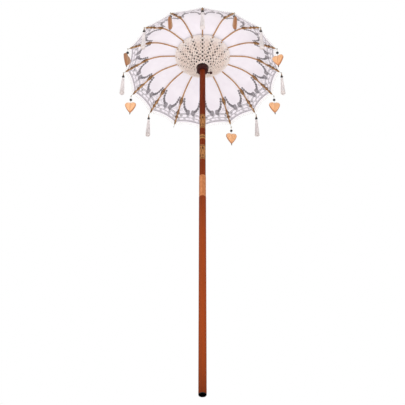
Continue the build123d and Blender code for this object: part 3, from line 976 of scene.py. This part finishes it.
# %% Lace strips
bm = bmesh.new()
beside_rib = 0.0068 / corner_radius
for low, high in ((-half_step, -beside_rib), (beside_rib, half_step)):
    cloth_grid(bm, 20, 6, lambda angle: canopy_edge(angle) - 0.004, lace_edge, low, high, 0.0011)
rim_map = bm.loops.layers.uv.new("rim")
for face in bm.faces:
    for loop in face.loops:
        angle = atan2(loop.vert.co.y, loop.vert.co.x)
        radius = hypot(loop.vert.co.x, loop.vert.co.y)
        loop[rim_map].uv = (radius * angle, lace_edge(angle) - radius)
lace_mesh = mesh_of(bm, "lace_strip")
to_rim = lace_thread.cloth("rim")[1]
from_scallop = to_rim - scallop_depth + scallop_edge
kept = from_scallop.fade(-0.0002, 0.0002)
hem = abs(from_scallop - 0.0009).fade(0.0010, 0.0006)
lace_thread.show(Alpha=solid.most(hem) * kept)
lace_thread.bump(lace_twist, 0.0003, 0.5)
lace_thread.through(0.4, linear("FFFFFF"))
print("faces in a lace strip", len(lace_mesh.polygons))

# %% Hang the cloth on the ribs
for number in ribs:
    body = f"rib_{number:02d}"
    gore_name, lace_name = f"gore_{number:02d}", f"lace_{number:02d}"
    gore = put(gore_name, gore_mesh, body, cotton.material, number, ["canopy"])
    strip = put(lace_name, lace_mesh, body, lace_thread.material, number, ["lace_trim"])
    for piece in (gore, strip):
        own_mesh(piece)
print("gores and strips", 2 * len(ribs))

# %% Cap of cloth on the crown
bm = bmesh.new()
bmesh.ops.create_circle(bm, segments=64, radius=0.0172)
edges = list(bm.edges)
for size in (0.024, 0.031, 0.038, 0.0465):
    moved, edges = extruded_rim(bm, edges)
    grow = size / hypot(moved[0].co.x, moved[0].co.y)
    bmesh.ops.scale(bm, vec=(grow, grow, 1), verts=moved)
straight_within = 0.03
for vertex in bm.verts:
    radius = hypot(vertex.co.x, vertex.co.y)
    height = float(np.interp(radius, cloth_radii, cloth_heights))
    if radius < straight_within:
        inward_run = radius - straight_within
        height = cloth_point(straight_within, 0).z + inward_run * tan(inner_slope)
    vertex.co.z = height + 0.0012
cap_maps = [bm.loops.layers.uv.new(name) for name in ("pattern", "border")]
for face in bm.faces:
    for loop in face.loops:
        loop[cap_maps[0]].uv = (loop.vert.co.x * 0.3 + 0.07, loop.vert.co.y * 0.3 + 0.2)
        loop[cap_maps[1]].uv = (loop.vert.co.x, 0.3)
cap_mesh = mesh_of(bm, "crown_cap_cloth")
cap = put("crown_cap_cloth", cap_mesh, "upper_pole", cotton.material)

# %% [markdown]
# ## Turned beads and wooden hearts
# Seven rib ends carry a flat wooden heart on a thread, under a dark turned bead. A bead is a
# profile spun about its thread. The heart could be a flat cut-out, but the real one is
# pillowed with a rounded rim, so its outline is drawn in towards the middle ring by ring, each
# ring a little prouder than the last, and the back is the mirror of the front.

# %% Finishes of the ornaments
dark_bead = Finish("dark_turned_bead", Coat_Weight=0.5, Coat_Roughness=0.15)
at = dark_bead.coordinates()[3]
streak = dark_bead.noise(dark_bead.stretch(at, (90, 90, 500)), 1.0, 3.0)
dark_bead.show(
    Base_Color=dark_bead.ramp(streak, (0.3, "0A0606"), (0.6, "1E1210"), (0.85, "3E2620")),
    Roughness=0.28 + streak * 0.25,
)
dark_bead.bump(streak, 0.0003)

heart_wood = Finish("natural_heart_wood", Coat_Weight=0.25, Coat_Roughness=0.3)
along, across, _, place = heart_wood.place()
rings = heart_wood.noise(heart_wood.stretch(place, (150, 60, 9)), 1.0, 4.0)
fleck = heart_wood.noise(heart_wood.stretch(place, (900, 900, 60)), 1.0, 2.0)
grain = rings * 0.7 + fleck * 0.3
wood = heart_wood.ramp(grain, (0.3, "D89458"), (0.46, "EEB27E"), (0.6, "FAC79A"), (0.78, "FFDAB8"))
rim_shade = abs(across).fade(0.0078, 0.0045)
middle_line = abs(along - eye_radius).fade(0.0032, 0.0008) * 0.35
colour = heart_wood.blend(rim_shade * 0.75, wood, linear("A85A28"))
colour = heart_wood.blend(middle_line, colour, linear("964C18"))
x, y = heart_wood.coordinates()[:2]
# Painted shade: hearts hanging on the near, left side of the parasol are darkened, as if they hung in
# shade.
painted_shade_near_side = (x * -0.5 - y).fade(0.25, 0.33)
colour = heart_wood.blend(painted_shade_near_side * 0.62, colour, linear("6E4422"))
heart_wood.show(Base_Color=colour, Roughness=0.42 + grain * 0.2)
heart_wood.bump(grain, 0.0004)

thread = Finish("hanging_thread", Sheen_Weight=0.2)
x, y, z = thread.coordinates()[:3]
twist = ((z * 3.0 + x + y) * 1400.0).sine() * 0.5 + 0.5
flax = thread.ramp(twist, (0.2, "8C7860"), (0.8, "CDBBA0"))
thread.show(Base_Color=flax, Roughness=0.7 + twist * 0.1)
thread.bump(twist, 0.0002)

skirt_top, skirt_hem = 0.050, 0.184
skirt_cotton = Finish("cream_tassel_cotton", Sheen_Weight=0.3)
up, place = skirt_cotton.place()[2:]
tuft = skirt_cotton.noise(skirt_cotton.stretch(place, (700, 700, 14)), 1.0, 3.0)
hem_shade = (eye_height - skirt_hem - up).fade(-0.022, 0.0) * 0.3
colour = skirt_cotton.ramp(tuft, (0.3, "D6CAC8"), (0.5, "F2EAEA"), (0.7, "FFFBFB"))
colour = skirt_cotton.blend(hem_shade, colour, linear("BCAA9C"))
skirt_cotton.show(Base_Color=colour, Roughness=0.82 + tuft * 0.1)
skirt_cotton.bump(tuft, 0.0005)


# %% Turned shapes and bound thread
def below_eye(drop):
    """The frame at a drop below the eye of a rib's end."""
    return Matrix.Translation((eye_radius, 0, eye_height - drop))


def lying_ring(bm, drop, wire_size, ring_size, segments):
    """A level ring about the thread at a drop below the eye."""
    ring(bm, below_eye(drop) @ Matrix.Rotation(pi / 2, 4, "Y"), wire_size, ring_size, segments, 5)


def turned(bm, profile, segments=20):
    """Spin a profile of (radius, drop below the eye) about the thread."""
    points = [bm.verts.new((eye_radius + r, 0, eye_height - drop)) for r, drop in profile]
    edges = [bm.edges.new(pair) for pair in zip(points, points[1:])]
    turning = {"cent": (eye_radius, 0, 0), "axis": (0, 0, 1), "angle": 2 * pi, "steps": segments}
    bmesh.ops.spin(bm, geom=points + edges, use_merge=True, **turning)
    bmesh.ops.remove_doubles(bm, verts=bm.verts, dist=0.00002)


def bead_profile(size, drop, height, grooves=()):
    """Half the outline of a bead, closed round the thread, with grooves cut at some angles."""
    outline = []
    for step in range(19):
        angle = pi * step / 18
        cut = 0.86 if step in grooves else 1.0
        radius = max(0.0011, size * sin(angle) * cut)
        outline.append((radius, drop - height * cos(angle)))
    return outline


def bound_thread(bm, low, high, size):
    """Close turns of thread about the cord, between two drops below the eye."""
    count = round((high - low) / 0.0016)
    for step in range(count):
        drop = low + (high - low) * (step + 0.5) / count
        lying_ring(bm, drop, 0.0009, size(step / count), 10)


# %% Heart
def arc_through(first, middle, last, count):
    """Points on the arc through three points, without the last one."""
    (ax, ay), (bx, by), (cx, cy) = first, middle, last
    twice = 2 * (ax * (by - cy) + bx * (cy - ay) + cx * (ay - by))
    a, b, c = ax * ax + ay * ay, bx * bx + by * by, cx * cx + cy * cy
    ux = (a * (by - cy) + b * (cy - ay) + c * (ay - by)) / twice
    uy = (a * (cx - bx) + b * (ax - cx) + c * (bx - ax)) / twice
    size = hypot(ax - ux, ay - uy)
    start = atan2(ay - uy, ax - ux)
    full = (atan2(cy - uy, cx - ux) - start) % (2 * pi)
    halfway = (atan2(by - uy, bx - ux) - start) % (2 * pi)
    if halfway > full:
        full -= 2 * pi
    angles = [start + full * step / count for step in range(count)]
    return [(ux + size * cos(angle), uy + size * sin(angle)) for angle in angles]


heart_top = 0.062
heart_width, heart_height, heart_notch = 0.064, 0.088, 0.009
shoulder = (heart_width / 2, -0.28 * heart_height)
lobe = arc_through((0, -heart_notch), (0.27 * heart_width, -0.02 * heart_height), shoulder, 14)
side_line = arc_through(shoulder, (0.31 * heart_width, -0.64 * heart_height), (0, -heart_height), 12)
right = lobe + side_line
left = [(-across_heart, down) for across_heart, down in [(0, -heart_height)] + right[:0:-1]]
outline = right + left
heart_middle = Vector((eye_radius, 0, eye_height - heart_top - 0.46 * heart_height))
pillow = [(1.0, 0.0036), (0.975, 0.0056), (0.93, 0.0066), (0.9, 0.0068), (0.8, 0.0085)]
pillow += [(0.64, 0.0100), (0.44, 0.0107), (0.22, 0.0110)]
bm = bmesh.new()
made = bmesh.ops.create_circle(bm, segments=len(outline), radius=1)["verts"]
edges = list(bm.edges)
for vertex, (wide, down) in zip(made, outline):
    vertex.co = (eye_radius + wide, 0, eye_height - heart_top + down)
shrunk = 1.0
for share, thickness in pillow:
    moved, edges = extruded_rim(bm, edges)
    grow = Matrix.Translation(heart_middle) @ Matrix.Diagonal((share / shrunk,) * 3 + (1,))
    grow = grow @ Matrix.Translation(-heart_middle)
    for vertex in moved:
        vertex.co.y = 0
    bmesh.ops.transform(bm, matrix=grow, verts=moved)
    for vertex in moved:
        vertex.co.y = thickness
    shrunk = share
bmesh.ops.edgeloop_fill(bm, edges=edges)
bmesh.ops.poke(bm, faces=[face for face in bm.faces if len(face.verts) > 4])
bmesh.ops.mirror(bm, geom=bm.verts[:] + bm.edges[:] + bm.faces[:], axis="Y", merge_dist=0.00005)
heart_mesh = mesh_of(bm, "wooden_heart")
print("heart", [round(float(side), 4) for side in np.ptp([v.co for v in heart_mesh.vertices], axis=0)])

# %% Beads of a heart and of a tassel
bm = bmesh.new()
turned(bm, bead_profile(0.0080, 0.036, 0.0080, (9,)))
turned(bm, bead_profile(0.0034, 0.1558, 0.0056, (6, 12)), 14)
heart_beads = mesh_of(bm, "heart_beads")
bm = bmesh.new()
turned(bm, bead_profile(0.0078, 0.035, 0.0086, (5, 13)))
turned(bm, bead_profile(0.0056, 0.0470, 0.0030), 18)
tassel_beads = mesh_of(bm, "tassel_beads")
bm = bmesh.new()
loop_size = 0.004
ring(bm, below_eye(loop_size), 0.0008, loop_size, 20, 6)
bound_thread(bm, 0.0085, 0.0125, lambda share: 0.0011)
heart_loop = mesh_of(bm, "thread_loop")
bm = bmesh.new()
ring(bm, below_eye(loop_size), 0.0008, loop_size, 20, 6)
bound_thread(bm, 0.0090, 0.0270, lambda share: 0.0014 + 0.0030 * share)
tassel_loop = mesh_of(bm, "thread_loop_and_binding")
bm = bmesh.new()
turned(bm, bead_profile(0.0021, 0.1640, 0.0021), 12)
heart_knot = mesh_of(bm, "knot")
print("bead faces", len(heart_beads.polygons), len(tassel_beads.polygons))

# %% [markdown]
# ## Tassels
# A tassel is a bundle of cotton threads bound at the top and cut at the hem. One cone would
# look like a lampshade, so some eighty threads hang round a slimmer core that stops light from
# passing between them. Every thread spreads a little as it falls and ends at its own length.

# %% Skirt of threads
rng = random.Random(7)
bm = bmesh.new()
core = [
    (0.0012, skirt_top),
    (0.0054, skirt_top + 0.001),
    (0.0060, 0.060),
    (0.0094, 0.12),
    (0.0112, 0.176),
    (0.0012, 0.177),
]
strands, golden_share = 84, 0.381966
turned(bm, core, 20)
for strand in range(strands):
    turn = 2 * pi * strand * golden_share
    spread = 0.55 + 0.45 * sqrt((strand + 0.5) / strands)
    ends = skirt_hem - rng.uniform(0, 0.005)
    sway = rng.uniform(-0.0012, 0.0012)
    section = bmesh.ops.create_circle(bm, cap_ends=True, segments=3, radius=0.00085)["verts"]
    end = section[0].link_faces[0]
    here = Vector((0, 0, 0))
    for step in range(6):
        share = step / 5
        reach = spread * (0.0062 + 0.0076 * share**0.8)
        drop = skirt_top + 0.001 + (ends - skirt_top) * share
        swing = turn + sway * share * 40
        there = Vector((eye_radius + reach * cos(swing), reach * sin(swing), eye_height - drop))
        if step:
            section, end = extruded_face(bm, end)
        bmesh.ops.translate(bm, vec=there - here, verts=section)
        here = there
for drop in (0.0515, 0.0535, 0.0555, 0.0575):
    lying_ring(bm, drop, 0.0011, 0.0066, 16)
skirt_mesh = mesh_of(bm, "tassel_skirt")
print("faces in a skirt", len(skirt_mesh.polygons))

# %% [markdown]
# ## Hanging the ornaments
# A heart hangs on 156 mm of thread below its loop, measured from the drops in the CAD model. A
# tassel's thread runs on down inside its skirt. The thread is a free cord, so it is a curve of
# its real length and thickness. Each heart has turned on its thread by its own angle. The
# tenth rib's eye is empty.

# %% Threads, hearts and tassels
heart_turns = {2: -15, 4: 0, 6: -20, 8: -60, 12: 20, 14: 42, 16: 15}
tassel_ribs = range(1, 17, 2)
thread_width = 0.0016
first_drop = 0.0078
last_drops = {"heart": 0.1635, "tassel": 0.1740}


def cord_down(name, number, body, last_drop):
    """A straight hanging thread from under its loop to a drop below the eye."""
    curve = bpy.data.curves.new(name, "CURVE")
    curve.dimensions = "3D"
    curve.bevel_depth = thread_width / 2
    curve.bevel_resolution = 1
    curve.use_fill_caps = True
    spline = curve.splines.new("NURBS")
    drops = np.linspace(first_drop, last_drop, 6)
    spline.points.add(len(drops) - 1)
    for point, drop in zip(spline.points, drops):
        place = turn_of(number) @ Vector((eye_radius, 0, eye_height - float(drop)))
        point.co = (*place, 1)
    spline.order_u = 3
    spline.use_endpoint_u = True
    curve.materials.append(thread.material)
    cord = bpy.data.objects.new(name, curve)
    bpy.context.scene.collection.objects.link(cord)
    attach(cord, body)
    leaves = turn_of(number) @ Vector((eye_radius, 0, eye_height - first_drop))
    return cord, leaves, last_drop - first_drop


def hang(number, body, parts):
    """Put the parts of an ornament at its rib; the last one stands for the CAD shape."""
    goods = []
    for name, mesh, finish in parts:
        stands_for = [body] if mesh is parts[-1][1] else []
        piece_name = f"{name}_{number:02d}"
        goods.append(put(piece_name, mesh, body, finish.material, number, stands_for))
    return goods


for number in [*heart_turns, *tassel_ribs]:
    kind = "heart" if number in heart_turns else "tassel"
    body = f"{kind}_{number:02d}"
    if kind == "heart":
        turned_heart = heart_mesh.copy()
        about = Matrix.Translation((eye_radius, 0, 0))
        spun = about @ Matrix.Rotation(radians(heart_turns[number]), 4, "Z") @ about.inverted()
        turned_heart.transform(spun)
        parts = [
            ("heart_beads", heart_beads, dark_bead),
            ("heart_loop", heart_loop, thread),
            ("heart_knot", heart_knot, thread),
            ("wooden_heart", turned_heart, heart_wood),
        ]
    else:
        parts = [
            ("tassel_beads", tassel_beads, dark_bead),
            ("tassel_loop", tassel_loop, yarn_gold),
            ("tassel_skirt", skirt_mesh, skirt_cotton),
        ]
    goods = hang(number, body, parts)
    cord_name = f"{kind}_thread_{number:02d}"
    cord, leaves, long = cord_down(cord_name, number, body, last_drops[kind])
print("hearts", len(heart_turns), "tassels", len(tassel_ribs))

# %% [markdown]
# ## Floor, light and camera
# The parasol stands on a pale studio floor. It is seen from low down in front, looking up into
# the canopy, from a place below the level of the pole's foot, so the floor is one-sided: it
# takes light and shadow from above and lets a look from underneath pass. Broad lamps stand on
# both sides, behind and low in front, a soft daylight evens out the floor, and the pale world
# fills in, as in a white studio. A filmic view would grey the white cloth, so the view is plain.

# %% Floor
bm = bmesh.new()
bmesh.ops.create_circle(bm, cap_ends=True, segments=96, radius=30)
floor_mesh = bpy.data.meshes.new("studio_floor")
bm.to_mesh(floor_mesh)
bm.free()
floor = bpy.data.objects.new("studio_floor", floor_mesh)
bpy.context.scene.collection.objects.link(floor)
floor_paint = Finish("pale_studio_floor", Roughness=0.9)
floor_paint.shader.inputs["Base Color"].default_value = linear("F4F3F2")
clear = floor_paint.tree.nodes.new("ShaderNodeBsdfTransparent")
one_side = floor_paint.tree.nodes.new("ShaderNodeMixShader")
below = floor_paint.node("ShaderNodeNewGeometry", output="Backfacing")
floor_paint.fill(one_side.inputs[0], below)
floor_paint.tree.links.new(floor_paint.shader.outputs[0], one_side.inputs[1])
floor_paint.tree.links.new(clear.outputs[0], one_side.inputs[2])
floor_paint.tree.links.new(one_side.outputs[0], floor_paint.output.inputs[0])
floor_mesh.materials.append(floor_paint.material)


# %% Lamps and world
def lamp(name, place, target, size, power, warmth=(1, 1, 1)):
    """A broad square lamp that shines on a target."""
    light = bpy.data.lights.new(name, "AREA")
    light.shape = "SQUARE"
    light.size = size
    light.energy = power
    light.color = warmth
    stand = bpy.data.objects.new(name, light)
    stand.location = place
    stand.rotation_euler = (Vector(target) - Vector(place)).to_track_quat("-Z", "Y").to_euler()
    stand.visible_camera = False
    bpy.context.scene.collection.objects.link(stand)


lamp("left_softbox", (-3.2, -3.4, 2.9), (0, 0, 1.6), 2.2, 55)
lamp("right_softbox", (3.6, -2.6, 2.2), (0, 0, 1.5), 2.6, 33)
lamp("back_softbox", (0.6, 3.6, 3.4), (0, 0, 2.0), 2.6, 24)
lamp("low_fill", (0.0, -1.2, 0.02), (0, -1.2, 3), 1.6, 30)
daylight = bpy.data.lights.new("soft_daylight", "SUN")
daylight.energy = 0.85
daylight.angle = radians(70)
bpy.context.scene.collection.objects.link(bpy.data.objects.new("soft_daylight", daylight))
world = bpy.data.worlds.new("white_studio")
world.use_nodes = True
bpy.context.scene.world = world
tree = world.node_tree
tree.nodes.clear()
seen = tree.nodes.new("ShaderNodeBackground")
seen.inputs["Color"].default_value = (1, 1, 1, 1)
seen.inputs["Strength"].default_value = 1.0
fill = tree.nodes.new("ShaderNodeBackground")
fill.inputs["Color"].default_value = (1, 0.99, 0.985, 1)
fill.inputs["Strength"].default_value = 0.55
choose = tree.nodes.new("ShaderNodeMixShader")
rays = tree.nodes.new("ShaderNodeLightPath")
sky = tree.nodes.new("ShaderNodeOutputWorld")
tree.links.new(rays.outputs["Is Camera Ray"], choose.inputs[0])
tree.links.new(fill.outputs[0], choose.inputs[1])
tree.links.new(seen.outputs[0], choose.inputs[2])
tree.links.new(choose.outputs[0], sky.inputs[0])

# %% Camera
camera_data = bpy.data.cameras.new("low_camera")
camera_data.lens = 88.9
camera_data.sensor_width = 36
camera_data.clip_end = 200
camera = bpy.data.objects.new("low_camera", camera_data)
camera.location = (0, -3.746, -2.368)
camera.rotation_euler = (radians(133.2), 0, 0)
bpy.context.scene.collection.objects.link(camera)
bpy.context.scene.camera = camera
bpy.context.scene.view_settings.view_transform = "Standard"
print("camera", [round(x, 2) for x in camera.location])
